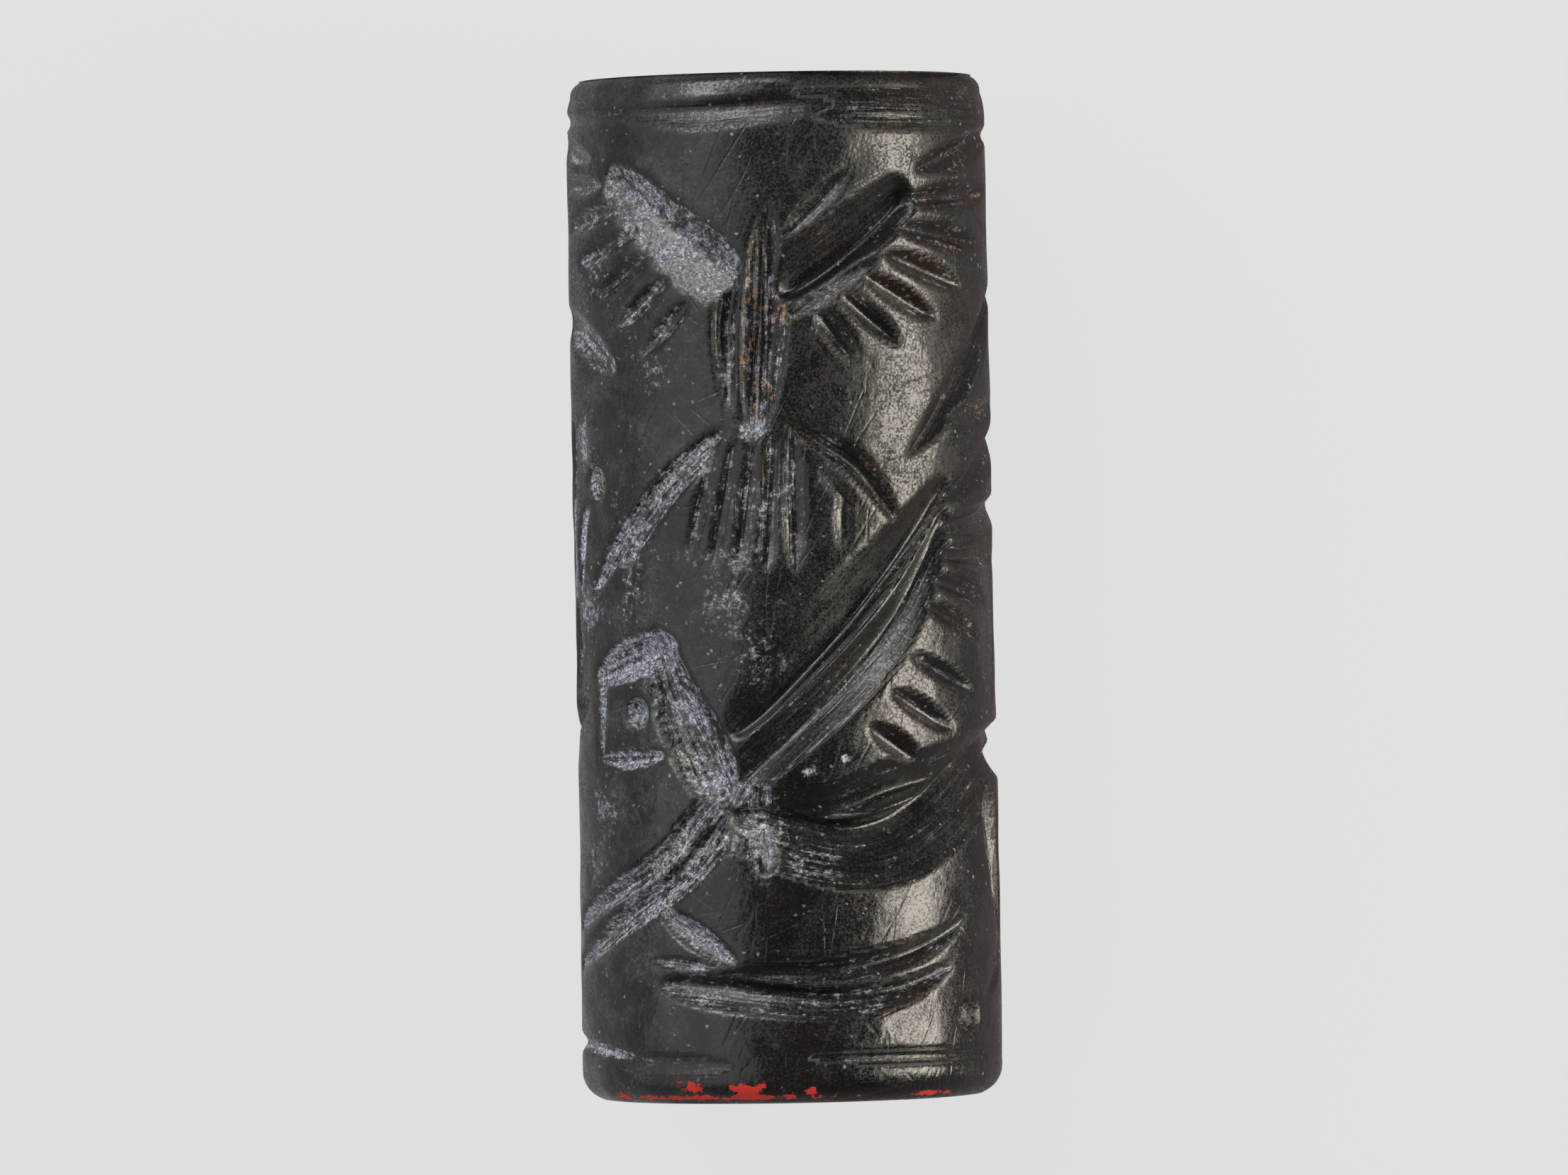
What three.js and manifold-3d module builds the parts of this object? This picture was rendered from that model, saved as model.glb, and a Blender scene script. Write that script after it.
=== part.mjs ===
// Cylinder seal: a small dark stone roller, pierced lengthwise, with an animal scene cut into its wall.
//
// Everything is in millimetres. The seal lies on a narrow flat, with its axis along Y, Z up, and the
// origin on the surface under its middle. Places on the wall are written unrolled, as [u, v]:
// u runs round the stone from the line that faces up, towards +X, and v runs along it, towards +Y.
// Every mark is made as the seal cutter made it, by taking the path of a tool out of the stone.

import * as THREE from "three";
import { mergeVertices } from "three/addons/utils/BufferGeometryUtils.js";
import Module from "manifold-3d";

const wasm = await Module();
wasm.setup();

// ---- Driving dimensions ----

const LENGTH = 27;
const RADIUS = 5.61;
const BORE_RADIUS = 1.7;
const BORE_MOUTH = 0.35; // how far the cord has worn the mouths of the bore open
const TOP_RIM = 0.4; // worn edges at the two ends, as radii
const BOTTOM_RIM = 0.75;
const RIM_STEPS = 3;
const WALL_FACETS = 48;
const FLAT_DEPTH = 0.08; // the flat that the seal lies on, below its round
const MERGE = 1e-4;

// ---- Solids ----

// A closed three.js geometry as a solid that can be cut. A geometry that comes out inside out is turned.
function solidOf(geometry) {
  const bare = geometry.clone();
  bare.deleteAttribute("normal");
  bare.deleteAttribute("uv");
  const merged = mergeVertices(bare, MERGE);
  const vertProperties = new Float32Array(merged.attributes.position.array);
  const triVerts = new Uint32Array(merged.index.array);
  const solid = new wasm.Manifold(new wasm.Mesh({ numProp: 3, vertProperties, triVerts }));
  if (solid.volume() >= 0) return solid;
  for (let i = 0; i < triVerts.length; i += 3) {
    [triVerts[i + 1], triVerts[i + 2]] = [triVerts[i + 2], triVerts[i + 1]];
  }
  return new wasm.Manifold(new wasm.Mesh({ numProp: 3, vertProperties, triVerts }));
}

function geometryOf(solid) {
  const mesh = solid.getMesh();
  const geometry = new THREE.BufferGeometry();
  geometry.setAttribute("position", new THREE.BufferAttribute(mesh.vertProperties, 3));
  geometry.setIndex(new THREE.BufferAttribute(mesh.triVerts, 1));
  geometry.computeVertexNormals();
  return geometry;
}

// The point at a place on the unrolled wall, and at a depth under it.
function onStone(u, v, depth) {
  const r = RADIUS - depth;
  return new THREE.Vector3(r * Math.sin(u / RADIUS), v, r * Math.cos(u / RADIUS));
}

// ---- Tools ----

// Cross-sections of the cutting edge, as [across, down] in shares of a stroke's half width and depth.
const ROUND_EDGE = [[-1, 0], [-0.7, 0.62], [0, 1], [0.7, 0.62], [1, 0]];
const KEEN_EDGE = [[-1, 0], [0, 1], [1, 0]];
const KEEN_BELOW = 0.36; // strokes narrower than this, as a half width, are cut with the keen edge
const CLEARANCE = 0.15; // how far every tool stands out of the wall, so that it always breaks through it

// A stroke's fullness along its length: nothing at its ends, 1 at peak, pointed at tip 1, round at tip 0.5.
function fullness(t, peak, tip) {
  const warped = Math.pow(t, Math.log(0.5) / Math.log(peak));
  return Math.pow(1 - Math.pow(2 * warped - 1, 2), tip);
}

// One cross-section of a stroke, as [across, down] in mm. Its sides run on above the wall at their own slope.
function section(edge, halfWidth, depth, full) {
  const [wide, inner] = [halfWidth * full, edge[edge.length - 2]];
  const flare = (CLEARANCE * halfWidth * (1 - inner[0])) / (inner[1] * depth);
  const cut = edge.slice(1, -1).map(([across, down]) => [across * wide, down * depth * full]);
  return [[-wide - flare, -CLEARANCE], ...cut, [wide + flare, -CLEARANCE], [0, -3 * CLEARANCE]];
}

// A boat-shaped groove along a smooth path, as a closed loft round the wall.
function stroke(path, halfWidth, depth, { peak = 0.5, tip = 0.75 } = {}) {
  const curve = new THREE.SplineCurve(path.map(([u, v]) => new THREE.Vector2(u, v)));
  const edge = halfWidth < KEEN_BELOW ? KEEN_EDGE : ROUND_EDGE;
  const spacing = edge === KEEN_EDGE ? 3 : 2.3;
  const stations = THREE.MathUtils.clamp(Math.round(curve.getLength() / spacing) + 2, 3, 8);
  const points = [];
  for (let i = 0; i < stations; i += 1) {
    const t = 0.5 - 0.5 * Math.cos((Math.PI * (i + 1)) / (stations + 1));
    const centre = curve.getPointAt(t);
    const along = curve.getTangentAt(t);
    for (const [across, down] of section(edge, halfWidth, depth, fullness(t, peak, tip))) {
      points.push(onStone(centre.x - along.y * across, centre.y + along.x * across, down));
    }
  }
  const n = points.length / stations;
  const faces = [];
  for (let i = 0; i + 1 < stations; i += 1) {
    for (let k = 0; k < n; k += 1) {
      const a = i * n + k;
      const b = i * n + ((k + 1) % n);
      faces.push(a, b, a + n, b, b + n, a + n);
    }
  }
  const first = points.length;
  const last = first - n;
  points.push(onStone(...curve.getPointAt(0).toArray(), -CLEARANCE));
  points.push(onStone(...curve.getPointAt(1).toArray(), -CLEARANCE));
  for (let k = 0; k < n; k += 1) {
    const next = (k + 1) % n;
    faces.push(first, next, k, first + 1, last + k, last + next);
  }
  const geometry = new THREE.BufferGeometry().setFromPoints(points);
  geometry.setIndex(faces);
  return solidOf(geometry);
}

// A round-ended drill, sunk to a depth.
function drill([u, v], radius, depth) {
  const ball = new THREE.SphereGeometry(radius, 8, 5);
  ball.rotateX(Math.PI / 2); // its pole points down the hole
  ball.rotateY(u / RADIUS);
  const centre = onStone(u, v, depth - radius);
  return solidOf(ball.translate(centre.x, centre.y, centre.z));
}

// Feathers that leave the edge of a wing, which bows out to the left of the way between its ends. from and to
// are where the first and the last of them start, and their angle (degrees from +u towards +v), length, half
// width and depth run from one value to the other.
function fan({ from, to, count, angle, angleBend = 1, length, lengthBend = 1, halfWidth, depth, bow = 0 }) {
  const edge = new THREE.Vector2(to[0] - from[0], to[1] - from[1]).normalize();
  return Array.from({ length: count }, (_, i) => {
    const done = i / (count - 1);
    const between = ([a, b], bend = 1) => b + (a - b) * Math.pow(1 - done, bend);
    const bulge = 4 * bow * done * (1 - done);
    const root = [between([from[0], to[0]]) - edge.y * bulge, between([from[1], to[1]]) + edge.x * bulge];
    const turn = THREE.MathUtils.degToRad(between(angle, angleBend));
    const reach = between(length, lengthBend);
    const end = [root[0] + reach * Math.cos(turn), root[1] + reach * Math.sin(turn)];
    return stroke([root, end], between(halfWidth), between(depth), { tip: 0.6 });
  });
}

// A leg below the thigh, ending in a drilled hoof.
function hoofedLeg(knee, hoof, halfWidth, hoofRadius) {
  return [stroke([knee, hoof], halfWidth, 0.28, { tip: 0.4 }), drill(hoof, hoofRadius, 0.6 * hoofRadius)];
}

// ---- Figures, each at its place on the unrolled wall ----

// A bird of prey seen from below, with spread wings, fanned tail and open claws.
function eagle() {
  return [
    stroke([[-0.25, 10.1], [-0.4, 6.9], [-0.7, 3.7]], 0.64, 0.7),
    stroke([[-0.95, 8.9], [-1.5, 7.0], [-1.4, 4.6]], 0.34, 0.4),
    stroke([[0.05, 9.1], [2.05, 11.0]], 0.34, 0.25),
    stroke([[-5.4, 10.95], [-1.2, 7.95]], 1.02, 0.52, { peak: 0.6, tip: 0.18 }),
    stroke([[-0.15, 7.9], [3.75, 10.45]], 0.82, 0.85, { tip: 0.18 }),
    stroke([[0.1, 7.0], [2.9, 8.65]], 0.36, 0.36),
    ...fan({
      from: [-2.4, 7.6], to: [-6.0, 11.35], count: 7, angle: [223, 170], length: [2.2, 3.5],
      halfWidth: [0.28, 0.34], depth: [0.24, 0.3], bow: 0.12,
    }),
    ...fan({
      from: [0.95, 7.2], to: [4.0, 10.9], count: 7, angle: [-47, 14], length: [1.75, 4.6],
      halfWidth: [0.32, 0.46], depth: [0.32, 0.4], bow: -0.5,
    }),
    ...fan({
      from: [-1.7, 3.9], to: [0.3, 4.1], count: 5, angle: [254, 270], length: [3.4, 3.8],
      halfWidth: [0.28, 0.38], depth: [0.17, 0.22],
    }),
    stroke([[-1.5, 4.15], [-3.3, 2.75], [-4.6, 1.55], [-6.3, -0.05]], 0.36, 0.28, { tip: 0.35 }),
    stroke([[-1.6, 3.75], [-3.0, 2.6], [-3.9, 1.6], [-4.5, 0.8], [-4.8, -0.2]], 0.24, 0.24, { peak: 0.4 }),
    stroke([[0.0, 4.35], [1.1, 3.75], [2.2, 3.0], [3.4, 1.45]], 0.36, 0.38),
    stroke([[1.65, 2.6], [1.6, 0.9]], 0.2, 0.16),
  ];
}

// A winged monster with a beaked head, striding, its long wing raised behind its neck.
function griffin() {
  return [
    stroke([[-2.0, -6.1], [1.2, -6.95], [3.0, -6.88], [4.6, -6.25], [7.4, -4.8], [10.6, -3.7]], 1.02, 0.95, {
      peak: 0.4, tip: 0.45,
    }),
    stroke([[-0.9, -5.5], [1.2, -5.55], [3.0, -5.0], [5.0, -4.6], [8.6, -3.7]], 0.6, 0.66, {
      peak: 0.45, tip: 0.45,
    }),
    stroke([[-1.7, -5.5], [-2.45, -4.1], [-3.3, -2.6], [-3.75, -1.0]], 0.85, 0.6, { peak: 0.35, tip: 0.4 }),
    stroke([[-3.0, -1.4], [-4.6, -1.8], [-6.5, -2.4]], 0.66, 0.42, { peak: 0.4, tip: 0.55 }),
    stroke([[-6.0, -1.9], [-6.15, -4.6]], 0.27, 0.22, { peak: 0.3, tip: 0.5 }),
    stroke([[-3.3, -4.35], [-6.3, -4.45]], 0.34, 0.3),
    drill([-4.48, -3.25], 0.47, 0.32),
    stroke([[-1.6, -3.8], [0.0, -2.05], [2.0, -0.1], [5.0, 2.8]], 0.74, 0.6, { tip: 0.35 }),
    stroke([[-1.6, -5.3], [0.0, -3.85], [2.0, -2.08], [3.6, -0.4], [5.1, 2.0]], 0.84, 0.66, {
      peak: 0.45, tip: 0.4,
    }),
    ...fan({
      from: [2.2, -3.65], to: [3.5, -1.8], count: 3, angle: [-31, -21], length: [2.2, 2.9],
      halfWidth: [0.38, 0.3], depth: [0.34, 0.3],
    }),
    ...fan({
      from: [4.0, -0.45], to: [4.8, 2.15], count: 5, angle: [-19, 23], angleBend: 0.7, length: [3.1, 6.6],
      lengthBend: 0.8, halfWidth: [0.34, 0.52], depth: [0.32, 0.48], bow: -0.15,
    }),
    stroke([[-0.9, -4.9], [-2.2, -6.8], [-3.8, -8.1], [-6.3, -9.3], [-8.6, -10.0]], 0.52, 0.5, {
      peak: 0.28, tip: 0.35,
    }),
    stroke([[-2.0, -5.4], [-3.4, -6.9], [-6.0, -8.1], [-8.6, -8.9]], 0.36, 0.38, { peak: 0.4, tip: 0.4 }),
    stroke([[-0.7, -5.0], [-0.8, -6.2], [-0.6, -7.5]], 0.6, 0.5, { tip: 0.5 }),
    stroke([[7.6, -4.2], [10.3, -5.0], [11.8, -7.0], [13.1, -9.2]], 0.66, 0.5, { peak: 0.35, tip: 0.6 }),
    stroke([[13.2, -9.3], [11.2, -9.8]], 0.18, 0.15),
    stroke([[7.1, -4.8], [7.5, -7.0], [8.1, -9.3]], 0.62, 0.45, { peak: 0.35 }),
    stroke([[8.0, -9.3], [7.6, -10.3], [6.3, -11.0]], 0.14, 0.14),
    drill([5.62, -11.35], 0.5, 0.34),
    stroke([[8.5, -3.9], [10.4, -3.1], [11.6, -1.5], [11.85, 1.5]], 0.2, 0.18),
    drill([11.85, 1.85], 0.46, 0.32),
  ];
}

// A fish below the griffin, with a forked tail.
function fish() {
  return [
    stroke([[-2.0, -10.0], [0.8, -10.1], [3.0, -9.75], [4.4, -9.3], [5.6, -8.7]], 0.42, 0.42, { peak: 0.45 }),
    stroke([[-3.75, -10.35], [-1.6, -10.6], [1.0, -10.85], [3.2, -10.6], [4.9, -10.0]], 0.5, 0.5, {
      peak: 0.38, tip: 0.5,
    }),
    stroke([[-3.7, -8.35], [-1.4, -9.85]], 0.36, 0.3, { tip: 0.5 }),
  ];
}

// A long-eared animal crouching below the goat, its hind leg folded under it.
function hare() {
  return [
    stroke([[-7.95, 0.1], [-8.1, -3.6]], 0.6, 0.45, { peak: 0.55 }),
    stroke([[-9.4, 0.0], [-9.5, -3.4]], 0.5, 0.38, { peak: 0.45 }),
    stroke([[-6.7, -2.8], [-9.4, -3.7]], 0.36, 0.35),
    stroke([[-7.9, -3.4], [-10.8, -4.9], [-14.8, -5.9], [-18.6, -6.6]], 0.86, 0.7, { tip: 0.45 }),
    stroke([[-17.4, -5.9], [-19.2, -7.3], [-20.7, -10.1]], 0.6, 0.45, { peak: 0.4 }),
    stroke([[-18.4, -8.0], [-15.6, -8.9], [-12.9, -10.6]], 0.76, 0.6, { tip: 0.6 }),
    stroke([[-13.1, -10.0], [-13.2, -11.3], [-14.6, -12.2]], 0.24, 0.24),
    drill([-15.05, -12.1], 0.5, 0.36),
    stroke([[-17.9, -8.3], [-19.7, -10.9]], 0.4, 0.34),
    stroke([[-10.2, -5.6], [-10.5, -7.6], [-11.9, -9.6]], 0.28, 0.25),
    stroke([[-9.3, -6.0], [-9.5, -8.1], [-10.8, -10.1], [-13.0, -10.9]], 0.3, 0.25),
  ];
}

// A horned animal walking above the hare, its feet drilled and its tail curled over its back.
function goat() {
  return [
    stroke([[-20.6, 0.3], [-17.2, 1.2], [-14.6, 2.1], [-11.4, 3.7]], 0.86, 0.65, { peak: 0.7, tip: 0.5 }),
    stroke([[-12.6, 1.9], [-12.4, 4.4], [-12.1, 7.4]], 0.85, 0.5, { tip: 0.5 }),
    stroke([[-12.9, 5.9], [-10.0, 5.6]], 0.5, 0.4),
    stroke([[-12.9, 6.7], [-9.9, 7.5]], 0.32, 0.25),
    stroke([[-11.9, 6.4], [-13.8, 7.4]], 0.3, 0.22),
    stroke([[-12.9, 5.0], [-14.8, 6.3]], 0.28, 0.2),
    stroke([[-12.0, 3.2], [-12.0, -0.4]], 0.42, 0.38, { tip: 0.5 }),
    ...hoofedLeg([-12.1, 0.2], [-11.5, -3.35], 0.24, 0.58),
    stroke([[-13.4, 2.3], [-13.35, -0.8]], 0.36, 0.34, { tip: 0.5 }),
    ...hoofedLeg([-13.35, -0.3], [-13.3, -3.15], 0.24, 0.6),
    stroke([[-19.4, 1.2], [-20.8, -0.4], [-22.2, -3.2]], 0.64, 0.5, { peak: 0.4 }),
    ...hoofedLeg([-22.2, -2.8], [-22.85, -5.35], 0.3, 0.5),
    stroke([[-18.4, 0.4], [-20.6, -3.1]], 0.5, 0.42),
    drill([-18.75, -0.25], 0.48, 0.36),
    ...hoofedLeg([-20.5, -2.8], [-21.1, -5.45], 0.28, 0.46),
    stroke([[-20.1, 0.9], [-20.2, 2.3], [-19.3, 3.4], [-17.6, 3.5]], 0.3, 0.28, { tip: 0.5 }),
    drill([-17.35, 3.1], 0.64, 0.42),
  ];
}

// A bird swooping over the goat, with a forked tail.
function swallow() {
  return [
    stroke([[-12.2, 11.2], [-13.9, 8.9], [-16.4, 5.8]], 0.74, 0.5, { peak: 0.42 }),
    stroke([[-13.7, 9.2], [-16.6, 7.7], [-19.2, 5.9]], 0.42, 0.36, { peak: 0.4 }),
    stroke([[-12.8, 10.2], [-9.1, 10.5]], 0.3, 0.26),
    stroke([[-13.2, 9.4], [-9.3, 9.4]], 0.33, 0.28),
    stroke([[-19.0, 6.4], [-18.6, 4.0]], 0.16, 0.14),
  ];
}

// A crescent moon that holds six drilled stars, with a seventh cut off by the border above.
function moonAndStars() {
  const cradle = [14.35, 10.95];
  const swing = 3.15;
  const horns = [182, 222, 262, 302, 342].map((degrees) => {
    const turn = THREE.MathUtils.degToRad(degrees);
    return [cradle[0] + 1.1 * swing * Math.cos(turn), cradle[1] + swing * Math.sin(turn)];
  });
  const stars = [[13.15, 11.35], [14.45, 10.75], [16.2, 10.8], [12.6, 10.05], [14.4, 9.5], [15.9, 9.6]];
  return [
    stroke(horns, 0.66, 0.5),
    ...stars.map((place) => drill(place, 0.6, 0.42)),
    stroke([[11.7, 12.35], [14.7, 12.35]], 0.5, 0.3, { tip: 0.5 }),
  ];
}

// Filling marks between the figures: wheel-cut lozenges, a forked spear, buds on stems, and maces.
function fillers() {
  return [
    stroke([[-9.6, 7.2], [-7.2, 6.75], [-5.0, 5.75]], 0.58, 0.42, { tip: 0.5 }),
    stroke([[9.1, 6.9], [14.2, 5.1]], 0.46, 0.42),
    stroke([[9.3, 6.3], [13.6, 4.4]], 0.42, 0.34),
    stroke([[3.5, 3.3], [6.6, 6.0], [9.4, 8.2]], 0.55, 0.44),
    stroke([[8.7, 7.4], [10.9, 9.4]], 0.36, 0.3),
    stroke([[9.2, 7.8], [9.7, 9.9]], 0.32, 0.26),
    stroke([[4.8, 4.3], [8.9, 4.8]], 0.34, 0.28),
    stroke([[7.6, 1.5], [7.6, -3.2]], 1.2, 0.12),
    stroke([[-8.0, 4.6], [-8.1, 2.3]], 0.42, 0.3),
    stroke([[-8.2, 2.5], [-8.5, 0.4]], 0.2, 0.14),
    drill([-6.15, 2.82], 0.52, 0.3),
    stroke([[-6.45, 2.3], [-7.0, 1.8], [-7.25, 0.9], [-7.35, -0.1]], 0.34, 0.2),
    drill([10.4, -10.75], 0.46, 0.34),
    stroke([[11.0, -11.4], [15.2, -10.2]], 0.32, 0.26),
    drill([10.15, -12.0], 0.58, 0.38),
    stroke([[11.2, -12.5], [15.8, -11.5]], 0.32, 0.26),
    stroke([[-13.9, -4.1], [-12.9, -4.8]], 0.24, 0.2),
  ];
}

// The thin lines, cut freehand in several passes, that close the scene at both ends.
function borders() {
  return [
    [[[-12.6, 12.3], [-7.6, 12.45], [-3.6, 12.5]], 0.24, 0.14],
    [[[-4.6, 12.5], [-2.2, 12.4], [0.2, 12.55], [2.4, 12.6]], 0.36, 0.22],
    [[[0.0, 12.55], [3.0, 12.5], [6.6, 12.4]], 0.6, 0.18],
    [[[4.8, 12.0], [9.0, 11.9], [12.2, 12.1]], 0.2, 0.12],
    [[[14.2, 12.1], [18.0, 12.1], [22.8, 12.1]], 0.2, 0.14],
    [[[-10.6, -11.9], [-7.3, -12.0], [-4.2, -12.3]], 0.24, 0.18],
    [[[-5.4, -12.4], [-3.4, -12.45], [-1.6, -12.5]], 0.34, 0.14],
    [[[0.4, -12.3], [6.6, -12.4]], 0.22, 0.14],
    [[[8.6, -12.45], [16.0, -12.5]], 0.22, 0.14],
    [[[15.4, -12.6], [21.0, -12.5], [25.6, -12.0]], 0.22, 0.14],
  ].map(([path, halfWidth, depth]) => stroke(path, halfWidth, depth, { tip: 0.4 }));
}

// ---- The stone ----

// Half the outline of the pierced stone, from the bore's lower mouth round the wall and back.
function outline() {
  const half = LENGTH / 2;
  const rim = (radius, from) =>
    Array.from({ length: RIM_STEPS + 1 }, (_, i) => {
      const turn = from + (Math.PI / 2) * (i / RIM_STEPS);
      const y = (half - radius) * Math.sign(Math.sin(from + Math.PI / 4)) + radius * Math.sin(turn);
      return new THREE.Vector2(RADIUS - radius + radius * Math.cos(turn), y);
    });
  const mouth = BORE_RADIUS + BORE_MOUTH;
  const points = [
    new THREE.Vector2(BORE_RADIUS, BORE_MOUTH - half),
    new THREE.Vector2(mouth, -half),
    ...rim(BOTTOM_RIM, -Math.PI / 2),
    ...rim(TOP_RIM, 0),
    new THREE.Vector2(mouth, half),
    new THREE.Vector2(BORE_RADIUS, half - BORE_MOUTH),
  ];
  return [...points, points[0]];
}

// The slab that takes the resting flat off the stone's underside.
function underSlab() {
  const slab = new THREE.BoxGeometry(2 * RADIUS, 2 * LENGTH, RADIUS);
  return solidOf(slab.translate(0, 0, -1.5 * RADIUS + FLAT_DEPTH));
}

function carvedStone() {
  const blank = solidOf(new THREE.LatheGeometry(outline(), WALL_FACETS)).subtract(underSlab());
  const makers = [eagle, griffin, fish, hare, goat, swallow, moonAndStars, fillers, borders];
  return makers.flatMap((make) => make()).reduce((stone, cut) => stone.subtract(cut), blank);
}

const blackStone = new THREE.MeshStandardMaterial({ color: 0x2d2c2b, roughness: 0.35, metalness: 0.1 });
const seal = new THREE.Mesh(geometryOf(carvedStone()), blackStone);
seal.name = "seal_stone";
seal.position.z = RADIUS - FLAT_DEPTH;

const group = new THREE.Group();
group.add(seal);
export default group;
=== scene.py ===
"""Cylinder seal of polished black stone, lying on its side, with its carved wall and its studio.

The wall is worked out unrolled, as a fine sheet in millimetres: u runs round the stone from the line that
faces up, towards +X, and v runs along it, towards +Y, its upper end. Each mark of the seal cutter's tools is
taken out of that sheet, which is then rolled up round the bore.
"""

import bpy
import numpy as np
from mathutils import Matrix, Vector


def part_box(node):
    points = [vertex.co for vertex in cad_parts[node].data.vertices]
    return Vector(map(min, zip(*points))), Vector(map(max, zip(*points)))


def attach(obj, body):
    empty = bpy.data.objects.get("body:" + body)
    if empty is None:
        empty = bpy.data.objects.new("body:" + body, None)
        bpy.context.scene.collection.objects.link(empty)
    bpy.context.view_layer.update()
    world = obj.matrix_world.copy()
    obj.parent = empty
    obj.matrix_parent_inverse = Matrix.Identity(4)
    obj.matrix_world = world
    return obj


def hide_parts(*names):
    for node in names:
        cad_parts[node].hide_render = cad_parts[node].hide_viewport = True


bl_info = {
    "name": "Cylinder Seal",
    "version": (1, 0, 0),
    "blender": (4, 5, 0),
    "location": "View3D > Sidebar > Seal",
    "description": "Makes a carved cylinder seal of black stone and the studio round it",
    "category": "Add Mesh",
}

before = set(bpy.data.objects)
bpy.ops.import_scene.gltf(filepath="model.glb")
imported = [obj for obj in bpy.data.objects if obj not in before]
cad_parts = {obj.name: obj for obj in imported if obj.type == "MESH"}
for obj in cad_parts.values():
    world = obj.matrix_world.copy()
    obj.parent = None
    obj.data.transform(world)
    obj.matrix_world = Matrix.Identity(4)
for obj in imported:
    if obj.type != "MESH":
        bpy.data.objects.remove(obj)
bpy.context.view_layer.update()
STONE_LOW, STONE_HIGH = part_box("seal_stone")

MM = 0.001
LENGTH = (STONE_HIGH.y - STONE_LOW.y) / MM
RADIUS = (STONE_HIGH.x - STONE_LOW.x) / 2 / MM
AXIS_HEIGHT = STONE_HIGH.z / MM - RADIUS
GIRTH = 2 * np.pi * RADIUS


# ---- Settings ----


class SealShape(bpy.types.PropertyGroup):
    bore_radius: bpy.props.FloatProperty(
        name="Bore radius", description="Radius of the hole for the cord", default=1.7 * MM, unit="LENGTH"
    )
    bore_mouth: bpy.props.FloatProperty(
        name="Bore mouth", description="How far the cord has worn the mouths open",
        default=0.35 * MM, unit="LENGTH",
    )
    top_rim: bpy.props.FloatProperty(
        name="Top rim", description="Radius of the worn edge at the upper end",
        default=0.4 * MM, unit="LENGTH",
    )
    bottom_rim: bpy.props.FloatProperty(
        name="Bottom rim", description="Radius of the worn edge at the lower end",
        default=0.75 * MM, unit="LENGTH",
    )
    shoulder: bpy.props.FloatProperty(
        name="Shoulder", description="How far the wall is worn down towards its upper end", default=0.13 * MM,
        unit="LENGTH",
    )
    wear: bpy.props.FloatProperty(
        name="Wear", description="Height of the slow swells that handling has left in the wall",
        default=0.022 * MM, unit="LENGTH",
    )
    around: bpy.props.IntProperty(
        name="Steps round", description="Faces round the stone", default=330, min=48
    )
    along: bpy.props.IntProperty(
        name="Steps along", description="Faces along the wall", default=266, min=48
    )
    fineness: bpy.props.IntProperty(
        name="Fineness", description="Samples of the carving to each face, each way", default=3, min=1, max=5
    )


class StoneFinish(bpy.types.PropertyGroup):
    stone: bpy.props.FloatVectorProperty(
        name="Stone", description="Colour of the polished stone",
        subtype="COLOR", default=(0.0045, 0.0044, 0.0046),
    )
    warm_stone: bpy.props.FloatVectorProperty(
        name="Warm stone", description="Colour of its redder patches",
        subtype="COLOR", default=(0.009, 0.0048, 0.0042),
    )
    cut_stone: bpy.props.FloatVectorProperty(
        name="Cut stone", description="Colour of the unpolished cuts",
        subtype="COLOR", default=(0.0105, 0.01, 0.01),
    )
    dust: bpy.props.FloatVectorProperty(
        name="Dust", description="Colour of the pale dust left in the cuts",
        subtype="COLOR", default=(0.6, 0.64, 0.75),
    )
    pale_dust: bpy.props.FloatVectorProperty(
        name="Pale dust", description="Colour of its creamier patches",
        subtype="COLOR", default=(0.72, 0.69, 0.64),
    )
    earth: bpy.props.FloatVectorProperty(
        name="Earth", description="Colour of the flecks of burial earth",
        subtype="COLOR", default=(0.4, 0.21, 0.1),
    )
    paint: bpy.props.FloatVectorProperty(
        name="Red", description="Colour of the red flecks at the lower end",
        subtype="COLOR", default=(0.68, 0.025, 0.01),
    )


class StudioLight(bpy.types.PropertyGroup):
    distance: bpy.props.FloatProperty(
        name="Camera height", description="From the stone's axis up to the camera",
        default=0.34, unit="LENGTH",
    )
    view_height: bpy.props.FloatProperty(
        name="View", description="What the camera takes in from top to bottom", default=0.0312, unit="LENGTH"
    )
    tilt: bpy.props.FloatProperty(
        name="Tilt", description="How far the stone leans in the view",
        default=np.radians(1.07), subtype="ANGLE",
    )
    floor: bpy.props.FloatVectorProperty(
        name="Floor", description="Colour of the floor", subtype="COLOR", default=(0.05, 0.05, 0.05)
    )
    glow: bpy.props.FloatProperty(
        name="Glow", description="Light that comes up through the floor", default=0.7
    )


def seal_settings(context):
    scene = context.scene
    return scene.seal_shape, scene.seal_finish, scene.seal_studio


# ---- The unrolled wall ----


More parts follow.
